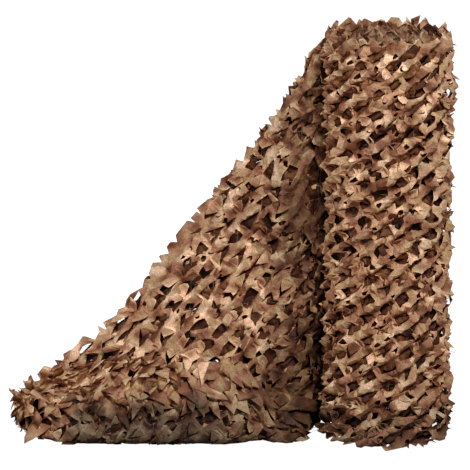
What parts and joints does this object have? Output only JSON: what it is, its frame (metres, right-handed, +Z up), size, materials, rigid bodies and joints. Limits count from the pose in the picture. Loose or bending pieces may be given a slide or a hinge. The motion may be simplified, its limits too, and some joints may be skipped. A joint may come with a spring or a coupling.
{
  "type": "camouflage netting",
  "caption": "Upright roll of leaf-cut desert brown camouflage netting, with a loose length sloping from its top to a slumped heap on the floor.",
  "frame": {"origin": "on the roll's axis, in the plane of its flat foot on the floor", "axes": "+Z up the roll, -X along the floor towards the free end of the loose length, -Y towards the front of its slumped heap"},
  "size_m": [1.6362, 0.571, 1.5335],
  "materials": {
    "leaf_cut_cloth": "matt woven polyester, printed in soft tan, pink brown and dark brown patches"
  },
  "bodies": {
    "root": {"net_roll": "leaf_cut_cloth", "loose_length": "leaf_cut_cloth"}
  },
  "joints": []
}
